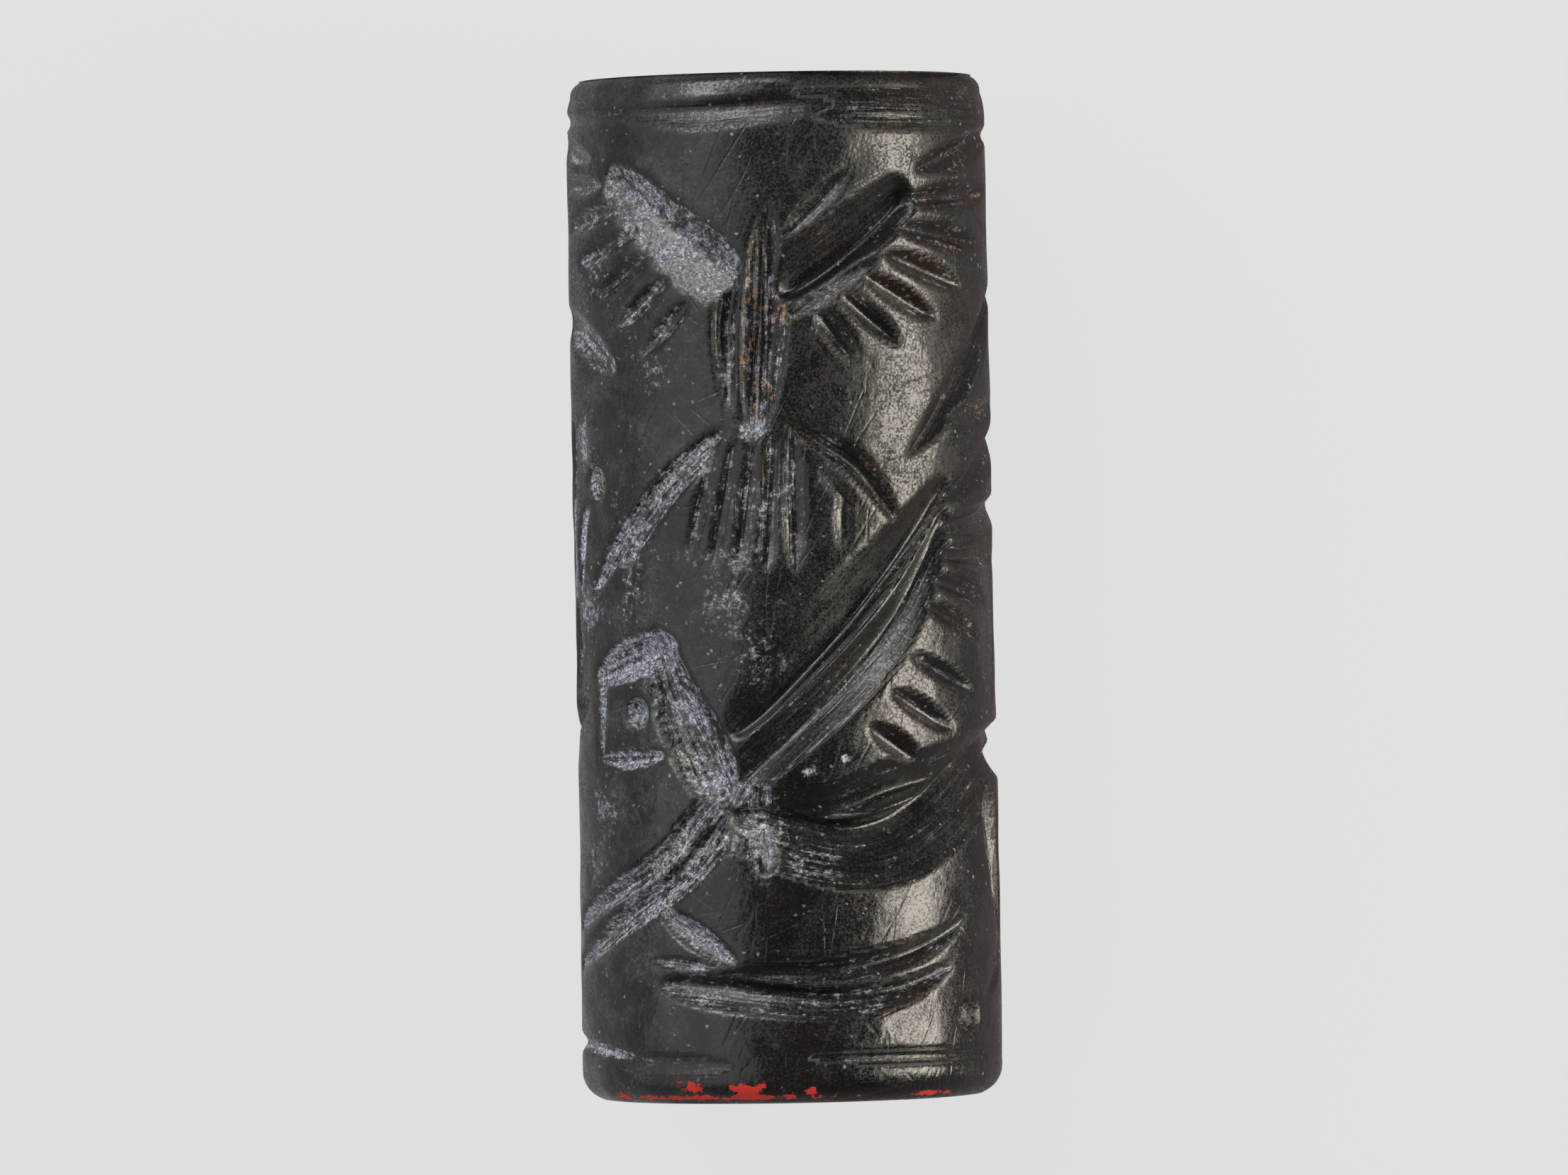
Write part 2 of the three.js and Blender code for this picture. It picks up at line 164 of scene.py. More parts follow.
class Sheet:
    """The wall as flat layers of samples, one row to each v and one column to each u, all in millimetres.

    depth is how deep the cuts are under the worn wall, and swell, which carve adds, is the height of that wall
    over the round of the stone, never above 0. The other layers say what the finish does there: dust and earth
    in the cuts, marks, how strongly the tool's streaks show, and along and across, the place within the stroke
    that cut it.
    """

    def __init__(self, columns, rows, low, high):
        self.u = (np.arange(columns) + 0.5) * GIRTH / columns - GIRTH / 2
        self.v = low + (np.arange(rows) + 0.5) * (high - low) / rows
        for name in ("depth", "dust", "earth", "marks", "along", "across"):
            setattr(self, name, np.zeros((rows, columns), np.float32))

    def window(self, path, reach):
        """The rows and columns within reach of a path, with their u unwound to run on beside the path."""
        middle = (path[:, 0].min() + path[:, 0].max()) / 2
        u = (self.u - middle + GIRTH / 2) % GIRTH - GIRTH / 2 + middle
        columns = np.nonzero((u > path[:, 0].min() - reach) & (u < path[:, 0].max() + reach))[0]
        rows = np.nonzero((self.v > path[:, 1].min() - reach) & (self.v < path[:, 1].max() + reach))[0]
        return np.ix_(rows, columns), *np.meshgrid(u[columns], self.v[rows])

    def take(self, where, depth, **finish):
        """Keeps the deeper of the old cut and the new, with the new one's finish where it is the deeper."""
        won = depth > self.depth[where]
        for name, value in {"depth": depth, **finish}.items():
            layer = getattr(self, name)
            layer[where] = np.where(won, value, layer[where])


def smooth_path(points, count=64, fine=24):
    """Even steps along a smooth curve through the points, and the curve's length.

    Each stretch is a cubic that meets its neighbours at one slope, first worked out in so many fine steps.
    """
    points = np.asarray(points, float)
    padded = np.vstack([2 * points[0] - points[1], points, 2 * points[-1] - points[-2]])
    t = np.linspace(0, 1, fine, endpoint=False)[:, None]
    a, b, c, d = padded[:-3, None], padded[1:-2, None], padded[2:-1, None], padded[3:, None]
    curve = 0.5 * (2 * b + (c - a) * t + (2 * a - 5 * b + 4 * c - d) * t**2 + (3 * b - a - 3 * c + d) * t**3)
    curve = np.vstack([curve.reshape(-1, 2), points[-1]])
    run = np.concatenate([[0], np.cumsum(np.linalg.norm(np.diff(curve, axis=0), axis=1))])
    even = np.linspace(0, run[-1], count)
    return np.column_stack([np.interp(even, run, curve[:, k]) for k in (0, 1)]), run[-1]


def waver(seed, u, v, size):
    """A smooth random field between about -1 and 1, as a sum of sine waves of about one size in mm."""
    rng = np.random.default_rng(seed)
    total = np.zeros(np.broadcast(u, v).shape)
    for _ in range(9):
        turn, phase = rng.uniform(0, 2 * np.pi, 2)
        pace = 2 * np.pi / size * rng.uniform(0.6, 1.5)
        total += np.sin(pace * (np.cos(turn) * u + np.sin(turn) * v) + phase)
    # nine waves seldom add up to more than 4
    return total / 4


def stroke(sheet, path, half_width, depth, peak=0.5, tip=0.75, keen=0.3, lean=0.0, dust=0.25, earth=0.0,
           rough=0.0, marks=1.0):
    """A boat-shaped groove along a path.

    Its fullness along t is (1 - (2 t' - 1)^2)^tip, with t' bent so that it is fullest at peak. Across, it
    rises from its deepest line, which lean moves to one side, as a mix of a straight side and a round one,
    and keen is the straight one's share. rough tears its rim.
    """
    curve, length = smooth_path(path)
    room_for_rim = 1.3
    where, u, v = sheet.window(curve, half_width * room_for_rim)
    if u.size == 0:
        return
    flat = np.column_stack([u.ravel(), v.ravel()])
    offset = flat[:, None] - curve[None]
    nearest = (offset**2).sum(2).argmin(1)
    slope = np.gradient(curve, axis=0)
    slope /= np.linalg.norm(slope, axis=1)[:, None]
    away, ahead = offset[np.arange(len(flat)), nearest], slope[nearest]
    t = nearest / (len(curve) - 1) + (away * ahead).sum(1) / length
    across = away[:, 1] * ahead[:, 0] - away[:, 0] * ahead[:, 1]
    bent = np.clip(t, 0, 1) ** (np.log(0.5) / np.log(peak))
    full = np.clip(1 - (2 * bent - 1) ** 2, 0, 1) ** tip * ((t > 0) & (t < 1))
    # the width is divided by, so it is never less than a hair
    hair = 1e-6
    width = half_width * full * (1 + rough * waver(7, flat[:, 0], flat[:, 1], 0.35)) + hair
    x = np.clip(across / width, -1, 1)
    x = np.where(x > lean, (x - lean) / (1 - lean), (lean - x) / (1 + lean))
    profile = keen * (1 - x) + (1 - keen) * np.sqrt(np.clip(1 - x**2, 0, 1))
    cut = (depth * full * profile * (np.abs(across) < width)).reshape(u.shape)
    # each stroke's streaks begin at a place of their own
    along = (t * length + path[0][0] * 7.3 + path[0][1] * 3.1).reshape(u.shape)
    sheet.take(where, cut, along=along, across=across.reshape(u.shape), dust=dust, earth=earth, marks=marks)


def drill(sheet, place, radius, depth, dust=0.25, earth=0.0):
    """A round-ended hole: the cap of a ball, sqrt(r^2 - d^2), less its centre's height above the wall."""
    centre = np.array([place])
    where, u, v = sheet.window(centre, radius)
    off_u, off_v = u - place[0], v - place[1]
    ball = max(radius, (radius**2 + depth**2) / (2 * depth))
    cut = np.sqrt(np.clip(ball**2 - off_u**2 - off_v**2, 0, None)) - (ball - depth)
    sheet.take(where, np.clip(cut, 0, None), along=off_u * 0.2 + place[0] * 7, across=np.hypot(off_u, off_v),
               dust=dust, earth=earth, marks=0.7)


def fan(sheet, start, end, count, angle, length, half_width, depth, bow=0.0, angle_bend=1.0, length_bend=1.0,
        **finish):
    """Feathers from the edge of a wing, which bows out to the left of the way from start to end.

    Each other size runs from the first feather's to the last one's, and angle is from +u towards +v.
    """
    done = np.arange(count) / (count - 1)

    def between(pair, bend=1.0):
        return pair[1] + (pair[0] - pair[1]) * (1 - done) ** bend

    turn = np.radians(between(angle, angle_bend))
    reach = between(length, length_bend)
    run = np.subtract(end, start) / np.linalg.norm(np.subtract(end, start))
    bulge = 4 * bow * done * (1 - done)
    root_u = between((start[0], end[0])) - run[1] * bulge
    root_v = between((start[1], end[1])) + run[0] * bulge
    for i in range(count):
        far = (root_u[i] + reach[i] * np.cos(turn[i]), root_v[i] + reach[i] * np.sin(turn[i]))
        stroke(sheet, [(root_u[i], root_v[i]), far], between(half_width)[i], between(depth)[i], tip=0.6,
               **finish)


# ---- Figures ----


def cut_eagle(sheet):
    """A bird of prey seen from below, with spread wings, fanned tail and open claws."""
    stroke(sheet, [(-0.25, 10.1), (-0.4, 6.9), (-0.7, 3.7)], 0.64, 0.7, keen=0.8, lean=-0.4, dust=0.4,
           earth=1.2)
    stroke(sheet, [(-0.95, 8.9), (-1.5, 7.0), (-1.4, 4.6)], 0.34, 0.4, keen=0.7, lean=0.3, dust=0.5,
           earth=0.15)
    stroke(sheet, [(0.05, 9.1), (2.05, 11.0)], 0.34, 0.25, keen=0.9, lean=-0.3, dust=0.1)
    stroke(sheet, [(-5.4, 10.95), (-1.2, 7.95)], 1.02, 0.52, peak=0.6, tip=0.18, keen=1.0, lean=0.12,
           dust=0.78, earth=0.25, rough=0.05, marks=0.2)
    stroke(sheet, [(-0.15, 7.9), (3.75, 10.45)], 0.82, 0.85, tip=0.18, keen=1.0, lean=-0.8, dust=0.0,
           earth=0.1, marks=0.35)
    stroke(sheet, [(0.1, 7.0), (2.9, 8.65)], 0.36, 0.36, keen=1.0, lean=0.3, dust=0.15)
    fan(sheet, (-2.4, 7.6), (-6.0, 11.35), 7, (223, 170), (2.2, 3.5), (0.28, 0.34), (0.24, 0.3), bow=0.12,
        dust=0.5, earth=0.3)
    fan(sheet, (0.95, 7.2), (4.0, 10.9), 7, (-47, 14), (1.75, 4.6), (0.32, 0.46), (0.32, 0.4), bow=-0.5,
        keen=1.0, dust=0.2, earth=0.6)
    fan(sheet, (-1.7, 3.9), (0.3, 4.1), 5, (254, 270), (3.4, 3.8), (0.28, 0.38), (0.17, 0.22), keen=0.5,
        dust=0.4)
    stroke(sheet, [(-1.5, 4.15), (-3.3, 2.75), (-4.6, 1.55), (-6.3, -0.05)], 0.36, 0.28, peak=0.5, tip=0.35,
           dust=0.8)
    stroke(sheet, [(-1.6, 3.75), (-3.0, 2.6), (-3.9, 1.6), (-4.5, 0.8), (-4.8, -0.2)], 0.24, 0.24, peak=0.4,
           dust=0.7)
    stroke(sheet, [(-5.05, -0.05), (-5.6, -0.85)], 0.1, 0.08, dust=0.7)
    stroke(sheet, [(0.0, 4.35), (1.1, 3.75), (2.2, 3.0), (3.4, 1.45)], 0.36, 0.38, keen=1.0, dust=0.2,
           earth=0.3)
    stroke(sheet, [(0.9, 3.15), (2.1, 1.9)], 0.16, 0.12, dust=0.3)
    stroke(sheet, [(1.65, 2.6), (1.6, 0.9)], 0.2, 0.16, dust=0.2)


def cut_griffin(sheet):
    """A winged monster with a beaked head, striding, its long wing raised behind its neck."""
    stroke(sheet, [(-2.0, -6.1), (1.2, -6.95), (3.0, -6.88), (4.6, -6.25), (7.4, -4.8), (10.6, -3.7)], 1.02,
           0.95, peak=0.4, tip=0.45, keen=1.0, lean=0.75, dust=0.0, earth=0.05)
    stroke(sheet, [(-0.9, -5.5), (1.2, -5.55), (3.0, -5.0), (5.0, -4.6), (8.6, -3.7)], 0.6, 0.66, peak=0.45,
           tip=0.45, keen=1.0, lean=-0.8, dust=0.05, earth=0.05)
    stroke(sheet, [(-1.7, -5.5), (-2.45, -4.1), (-3.3, -2.6), (-3.75, -1.0)], 0.85, 0.6, peak=0.35, tip=0.4,
           dust=0.72)
    stroke(sheet, [(-3.0, -1.4), (-4.6, -1.8), (-6.5, -2.4)], 0.66, 0.42, peak=0.4, tip=0.55, keen=0.9,
           lean=0.1, dust=1.0, rough=0.06)
    stroke(sheet, [(-6.0, -1.9), (-6.15, -4.6)], 0.27, 0.22, peak=0.3, tip=0.5, dust=0.85)
    stroke(sheet, [(-3.3, -4.35), (-6.3, -4.45)], 0.34, 0.3, dust=0.85)
    drill(sheet, (-4.48, -3.25), 0.47, 0.32, dust=0.85)
    stroke(sheet, [(-1.6, -3.8), (0.0, -2.05), (2.0, -0.1), (5.0, 2.8)], 0.74, 0.7, tip=0.35, keen=1.0,
           lean=-0.9, dust=0.0, marks=0.3)
    stroke(sheet, [(-1.6, -5.3), (0.0, -3.85), (2.0, -2.08), (3.6, -0.4), (5.1, 2.0)], 0.84, 0.66,
           peak=0.45, tip=0.4, keen=1.0, lean=-0.15, dust=0.04, marks=1.6)
    fan(sheet, (2.2, -3.65), (3.5, -1.8), 3, (-31, -21), (2.2, 2.9), (0.38, 0.3), (0.34, 0.3), keen=1.0,
        dust=0.25)
    fan(sheet, (4.0, -0.45), (4.8, 2.15), 5, (-19, 23), (3.1, 6.6), (0.34, 0.52), (0.32, 0.48), bow=-0.15,
        angle_bend=0.7, length_bend=0.8, keen=1.0, dust=0.15, earth=0.1)
    stroke(sheet, [(-0.9, -4.9), (-1.6, -6.0), (-2.2, -6.8), (-2.9, -7.5), (-3.8, -8.1), (-5.0, -8.7),
                   (-6.3, -9.3), (-8.6, -10.0)], 0.52, 0.5, peak=0.28, tip=0.35, keen=0.9, lean=-0.6,
           dust=0.75)
    stroke(sheet, [(-2.0, -5.4), (-2.8, -6.2), (-3.4, -6.9), (-4.6, -7.6), (-6.0, -8.1), (-7.5, -8.6),
                   (-8.6, -8.9)], 0.36, 0.38, peak=0.4, tip=0.4, dust=0.8)
    stroke(sheet, [(-0.7, -5.0), (-0.8, -6.2), (-0.6, -7.5)], 0.6, 0.5, tip=0.5, dust=0.75)
    stroke(sheet, [(-0.3, -6.9), (1.7, -7.5)], 0.16, 0.12, dust=0.6)
    stroke(sheet, [(7.6, -4.2), (10.3, -5.0), (11.8, -7.0), (13.1, -9.2)], 0.66, 0.5, peak=0.35, tip=0.6)
    stroke(sheet, [(13.2, -9.3), (11.2, -9.8)], 0.18, 0.15)
    stroke(sheet, [(7.1, -4.8), (7.5, -7.0), (8.1, -9.3)], 0.62, 0.45, peak=0.35)
    stroke(sheet, [(8.0, -9.3), (7.6, -10.3), (6.3, -11.0)], 0.14, 0.14)
    drill(sheet, (5.62, -11.35), 0.5, 0.34, dust=0.3, earth=0.5)
    stroke(sheet, [(8.5, -3.9), (10.4, -3.1), (11.6, -1.5), (11.85, 1.5)], 0.2, 0.18)
    drill(sheet, (11.85, 1.85), 0.46, 0.32)


def cut_fish(sheet):
    """A fish below the griffin, with a forked tail."""
    stroke(sheet, [(-2.0, -10.0), (0.8, -10.1), (3.0, -9.75), (4.4, -9.3), (5.6, -8.7)], 0.42, 0.42,
           peak=0.45, keen=0.7, dust=0.15)
    stroke(sheet, [(-3.75, -10.35), (-1.6, -10.6), (1.0, -10.85), (3.2, -10.6), (4.9, -10.0)], 0.5, 0.5,
           peak=0.38, tip=0.5, keen=0.7, lean=0.3, dust=0.35)
    stroke(sheet, [(-3.7, -8.35), (-1.4, -9.85)], 0.36, 0.3, tip=0.5, dust=0.8)
    stroke(sheet, [(-4.2, -9.7), (-1.8, -9.95)], 0.2, 0.16, dust=0.7)


def cut_hare(sheet):
    """A long-eared animal crouching below the goat, its hind leg folded under it."""
    stroke(sheet, [(-7.95, 0.1), (-8.1, -3.6)], 0.6, 0.45, peak=0.55)
    stroke(sheet, [(-9.4, 0.0), (-9.5, -3.4)], 0.5, 0.38, peak=0.45)
    stroke(sheet, [(-6.7, -2.8), (-9.4, -3.7)], 0.36, 0.35)
    stroke(sheet, [(-7.9, -3.4), (-10.8, -4.9), (-14.8, -5.9), (-18.6, -6.6)], 0.86, 0.7, tip=0.45)
    stroke(sheet, [(-17.4, -5.9), (-19.2, -7.3), (-20.7, -10.1)], 0.6, 0.45, peak=0.4)
    stroke(sheet, [(-18.4, -8.0), (-15.6, -8.9), (-12.9, -10.6)], 0.76, 0.6, tip=0.6)
    stroke(sheet, [(-13.1, -10.0), (-13.2, -11.3), (-14.6, -12.2)], 0.24, 0.24)
    drill(sheet, (-15.05, -12.1), 0.5, 0.36)
    stroke(sheet, [(-17.9, -8.3), (-19.7, -10.9)], 0.4, 0.34)
    stroke(sheet, [(-10.2, -5.6), (-10.5, -7.6), (-11.9, -9.6)], 0.28, 0.25)
    stroke(sheet, [(-9.3, -6.0), (-9.5, -8.1), (-10.8, -10.1), (-13.0, -10.9)], 0.3, 0.25)


def cut_goat(sheet):
    """A horned animal walking above the hare, its feet drilled and its tail curled over its back."""
    stroke(sheet, [(-20.6, 0.3), (-17.2, 1.2), (-14.6, 2.1), (-11.4, 3.7)], 0.86, 0.65, peak=0.7, tip=0.5)
    stroke(sheet, [(-12.6, 1.9), (-12.4, 4.4), (-12.1, 7.4)], 0.85, 0.5, tip=0.5)
    stroke(sheet, [(-12.9, 5.9), (-10.0, 5.6)], 0.5, 0.4)
    stroke(sheet, [(-12.9, 6.7), (-9.9, 7.5)], 0.32, 0.25)
    stroke(sheet, [(-11.9, 6.4), (-13.8, 7.4)], 0.3, 0.22)
    stroke(sheet, [(-12.9, 5.0), (-14.8, 6.3)], 0.28, 0.2)
    stroke(sheet, [(-12.0, 3.2), (-12.0, -0.4)], 0.42, 0.38, tip=0.5)
    stroke(sheet, [(-13.4, 2.3), (-13.35, -0.8)], 0.36, 0.34, tip=0.5)
    stroke(sheet, [(-19.4, 1.2), (-20.8, -0.4), (-22.2, -3.2)], 0.64, 0.5, peak=0.4)
    stroke(sheet, [(-18.4, 0.4), (-20.6, -3.1)], 0.5, 0.42)
    drill(sheet, (-18.75, -0.25), 0.48, 0.36)
    stroke(sheet, [(-20.1, 0.9), (-20.2, 2.3), (-19.3, 3.4), (-17.6, 3.5)], 0.3, 0.28, tip=0.5)
    drill(sheet, (-17.35, 3.1), 0.64, 0.42)
    for knee, hoof, half_width, hoof_radius in [
        ((-12.1, 0.2), (-11.5, -3.35), 0.24, 0.58),
        ((-13.35, -0.3), (-13.3, -3.15), 0.24, 0.6),
        ((-22.2, -2.8), (-22.85, -5.35), 0.3, 0.5),
        ((-20.5, -2.8), (-21.1, -5.45), 0.28, 0.46),
    ]:
        stroke(sheet, [knee, hoof], half_width, 0.28, tip=0.4)
        drill(sheet, hoof, hoof_radius, 0.6 * hoof_radius)


def cut_swallow(sheet):
    """A bird swooping over the goat, with a forked tail."""
    stroke(sheet, [(-12.2, 11.2), (-13.9, 8.9), (-16.4, 5.8)], 0.74, 0.5, peak=0.42)
    stroke(sheet, [(-13.7, 9.2), (-16.6, 7.7), (-19.2, 5.9)], 0.42, 0.36, peak=0.4)
    stroke(sheet, [(-12.8, 10.2), (-9.1, 10.5)], 0.3, 0.26)
    stroke(sheet, [(-13.2, 9.4), (-9.3, 9.4)], 0.33, 0.28)
    stroke(sheet, [(-19.0, 6.4), (-18.6, 4.0)], 0.16, 0.14)


def cut_moon_and_stars(sheet):
    """A crescent moon that holds six drilled stars, with a seventh cut off by the border above."""
    turn = np.radians([182, 222, 262, 302, 342])
    stroke(sheet, np.column_stack([14.35 + 3.47 * np.cos(turn), 10.95 + 3.15 * np.sin(turn)]), 0.66, 0.5)
    for place in [(13.15, 11.35), (14.45, 10.75), (16.2, 10.8), (12.6, 10.05), (14.4, 9.5), (15.9, 9.6)]:
        drill(sheet, place, 0.6, 0.42)
    stroke(sheet, [(11.7, 12.35), (14.7, 12.35)], 0.5, 0.3, tip=0.5)


def cut_fillers(sheet):
    """Marks between the figures: wheel-cut lozenges, a forked spear, buds on stems, and maces."""
    stroke(sheet, [(-9.6, 7.2), (-7.2, 6.75), (-5.0, 5.75)], 0.58, 0.42, tip=0.5, dust=0.7)
    stroke(sheet, [(9.1, 6.9), (14.2, 5.1)], 0.46, 0.42)
    stroke(sheet, [(9.3, 6.3), (13.6, 4.4)], 0.42, 0.34)
    stroke(sheet, [(3.5, 3.3), (6.6, 6.0), (9.4, 8.2)], 0.55, 0.44, keen=0.7, dust=0.1)
    stroke(sheet, [(8.7, 7.4), (10.9, 9.4)], 0.36, 0.3)
    stroke(sheet, [(9.2, 7.8), (9.7, 9.9)], 0.32, 0.26)
    stroke(sheet, [(4.8, 4.3), (8.9, 4.8)], 0.34, 0.28, earth=0.5)
    stroke(sheet, [(7.6, 1.5), (7.6, -3.2)], 1.2, 0.12, dust=0.0)
    stroke(sheet, [(-8.0, 4.6), (-8.1, 2.3)], 0.42, 0.3, dust=0.7)
    stroke(sheet, [(-8.2, 2.5), (-8.5, 0.4)], 0.2, 0.14, dust=0.7)
    drill(sheet, (-6.15, 2.82), 0.52, 0.3, dust=0.8)
    stroke(sheet, [(-6.45, 2.3), (-7.0, 1.8), (-7.25, 0.9), (-7.35, -0.1)], 0.34, 0.2, dust=1.2)
    drill(sheet, (10.4, -10.75), 0.46, 0.34)
    stroke(sheet, [(11.0, -11.4), (15.2, -10.2)], 0.32, 0.26)
    drill(sheet, (10.15, -12.0), 0.58, 0.38)
    stroke(sheet, [(11.2, -12.5), (15.8, -11.5)], 0.32, 0.26)
    stroke(sheet, [(-13.9, -4.1), (-12.9, -4.8)], 0.24, 0.2)


def cut_borders(sheet):
    """The thin lines, cut freehand in several passes, that close the scene at both ends."""
    for path, half_width, depth, lean, dust in [
        ([(-12.6, 12.3), (-7.6, 12.45), (-3.6, 12.5)], 0.24, 0.14, 0.0, 0.2),
        ([(-4.6, 12.5), (-2.2, 12.4), (0.2, 12.55), (2.4, 12.6)], 0.36, 0.22, 0.5, 0.1),
        ([(0.4, 12.75), (3.2, 12.7), (7.0, 12.6)], 0.8, 0.22, 0.6, 0.1),
        ([(4.8, 12.0), (9.0, 11.9), (12.2, 12.1)], 0.2, 0.12, 0.0, 0.1),
        ([(14.2, 12.1), (18.0, 12.1), (22.8, 12.1)], 0.2, 0.14, 0.0, 0.1),
        ([(-10.6, -11.9), (-7.3, -12.0), (-4.2, -12.3)], 0.24, 0.18, 0.0, 0.7),
        ([(-5.4, -12.4), (-3.4, -12.45), (-1.6, -12.5)], 0.34, 0.14, 0.0, 0.15),
        ([(0.4, -12.3), (6.6, -12.4)], 0.22, 0.14, 0.0, 0.1),
        ([(8.6, -12.45), (16.0, -12.5)], 0.22, 0.14, 0.0, 0.1),
        ([(15.4, -12.6), (21.0, -12.5), (25.6, -12.0)], 0.22, 0.14, 0.0, 0.1),
    ]:
        stroke(sheet, path, half_width, depth, tip=0.4, keen=0.3, lean=lean, dust=dust)


# ---- Wear and soil ----


# How far the worn shoulder reaches down the wall from the upper rim, in mm.
SHOULDER_WIDTH = 0.75

# Soft spots as places (u, v), sizes along u and v, and strengths: worn places on the wall where dust clings,
# some of them painted highlights instead (the two small white ones near u 1, v -4.7, and partly the long thin
# one at u -8), and red paint at the lower end.
DUST_AND_HIGHLIGHT_SPOTS = [
    (-1.6, -0.3, 1.5, 1.5, 0.5), (-0.8, -1.6, 1.1, 1.1, 0.55), (-6.7, -0.4, 0.9, 0.9, 0.8),
    (-5.9, -5.7, 1.0, 1.0, 0.5), (-6.4, -7.0, 0.8, 0.8, 0.5), (0.6, -7.3, 1.2, 0.5, 0.55),
    (-3.6, 5.9, 0.8, 0.8, 0.55), (-6.9, 3.9, 0.9, 0.9, 0.8), (-5.3, 8.0, 1.3, 1.3, 0.4),
    (-0.8, 4.15, 0.5, 0.35, 1.0), (-0.8, -6.3, 0.7, 1.2, 0.9), (1.55, -4.5, 0.16, 0.12, 1.6),
    (-2.5, -10.75, 0.9, 0.3, 0.8), (-1.3, 0.9, 1.3, 0.6, 0.6), (0.55, -4.85, 0.3, 0.2, 0.9),
    (-4.6, 0.6, 1.0, 1.6, 0.55), (-8.0, 1.5, 0.35, 3.5, 1.0),
]
PAINT_SPOTS = [
    (-2.95, -13.02, 0.5, 0.14, 0.9), (-1.4, -13.1, 0.65, 0.18, 0.95), (-5.6, -13.3, 0.6, 0.12, 0.9),
    (-2.6, -13.32, 4.2, 0.09, 0.9), (0.5, -13.15, 0.2, 0.12, 0.75), (4.3, -13.32, 1.0, 0.09, 0.8),
]


def soft_spots(u, v, places):
    """The strongest of the spots at each point: strength * exp(-(du / size_u)^2 - (dv / size_v)^2)."""
    values = [strength * np.exp(-(((u - at_u) / size_u) ** 2) - ((v - at_v) / size_v) ** 2)
              for at_u, at_v, size_u, size_v, strength in places]
    return np.max(values, axis=0)


def softened(layer):
    """A layer with its edges worn: a small round blur that runs on round the stone but not over its ends.

    Five samples are weighed in each way, twice over, with weights that add up to 16.
    """
    weights = (1, 4, 6, 4, 1)
    for _ in range(2):
        layer = sum(w * np.roll(layer, k, 1) for k, w in zip(range(-2, 3), weights)) / 16
        padded = np.pad(layer, ((2, 2), (0, 0)), mode="edge")
        layer = sum(w * padded[k : k + len(layer)] for k, w in enumerate(weights)) / 16
    return layer


def carve(sheet, shape):
    """All the cuts, then the wear that softens them and leaves the wall a little uneven."""
    for cut in (cut_eagle, cut_griffin, cut_fish, cut_hare, cut_goat, cut_swallow, cut_moon_and_stars,
                cut_fillers, cut_borders):
        cut(sheet)
    sheet.depth = softened(sheet.depth)
    u, v = np.meshgrid(sheet.u, sheet.v)
    turn = u / RADIUS
    # three sizes of swell, without a seam at the line that faces down
    swell = waver(3, 4 * np.sin(turn), v, 7) + 0.5 * waver(4, 6 * np.cos(turn), v, 3.5)
    swell += 0.4 * waver(5, RADIUS * np.sin(turn), v + RADIUS * np.cos(turn), 1.7)
    shoulder = np.clip((v - sheet.v[-1]) / SHOULDER_WIDTH + 1, 0, 1) ** 2
    sheet.swell = (shape.wear * (swell - swell.max()) - shape.shoulder * shoulder).astype(np.float32) / MM


def coarser(layer, by):
    """A layer with one sample for every by x by of it, their mean, so that slanting edges stay smooth."""
    rows, columns = layer.shape
    return layer.reshape(rows // by, by, columns // by, by).mean((1, 3))


# ---- The stone ----


# How many rings there are on each mouth of the bore, each flat end, each worn rim and between the mouths.
MOUTH_RINGS, END_RINGS, RIM_RINGS, BORE_RINGS = 4, 7, 6, 4


def outline(shape, along):
    """Rings of (radius, y) in mm, from the lower mouth of the bore round the wall and back through the bore.

    Also which of them are the wall's, and the y of the wall's two ends.
    """
    half, bore = LENGTH / 2, shape.bore_radius / MM
    worn = shape.bore_mouth / MM
    mouth = bore + worn
    top, bottom = shape.top_rim / MM, shape.bottom_rim / MM

    def rim(radius, centre_y, start):
        turn = np.linspace(start, start + np.pi / 2, RIM_RINGS + 2)[1:-1]
        return np.column_stack([RADIUS - radius + radius * np.cos(turn), centre_y + radius * np.sin(turn)])

    edges = np.linspace(-half + bottom, half - top, along + 1)
    wall = np.column_stack([np.full(along, RADIUS), (edges[1:] + edges[:-1]) / 2])
    parts = [
        np.linspace((bore, worn - half), (mouth, -half), MOUTH_RINGS),
        np.linspace((mouth, -half), (RADIUS - bottom, -half), END_RINGS)[1:],
        rim(bottom, -half + bottom, -np.pi / 2),
        wall,
        rim(top, half - top, 0),
        np.linspace((RADIUS - top, half), (mouth, half), END_RINGS),
        np.linspace((mouth, half), (bore, half - worn), MOUTH_RINGS)[1:],
        np.linspace((bore, half - worn), (bore, worn - half), BORE_RINGS + 2)[1:-1],
    ]
    first = sum(len(part) for part in parts[:3])
    return np.vstack(parts), slice(first, first + along), (edges[0], edges[-1])


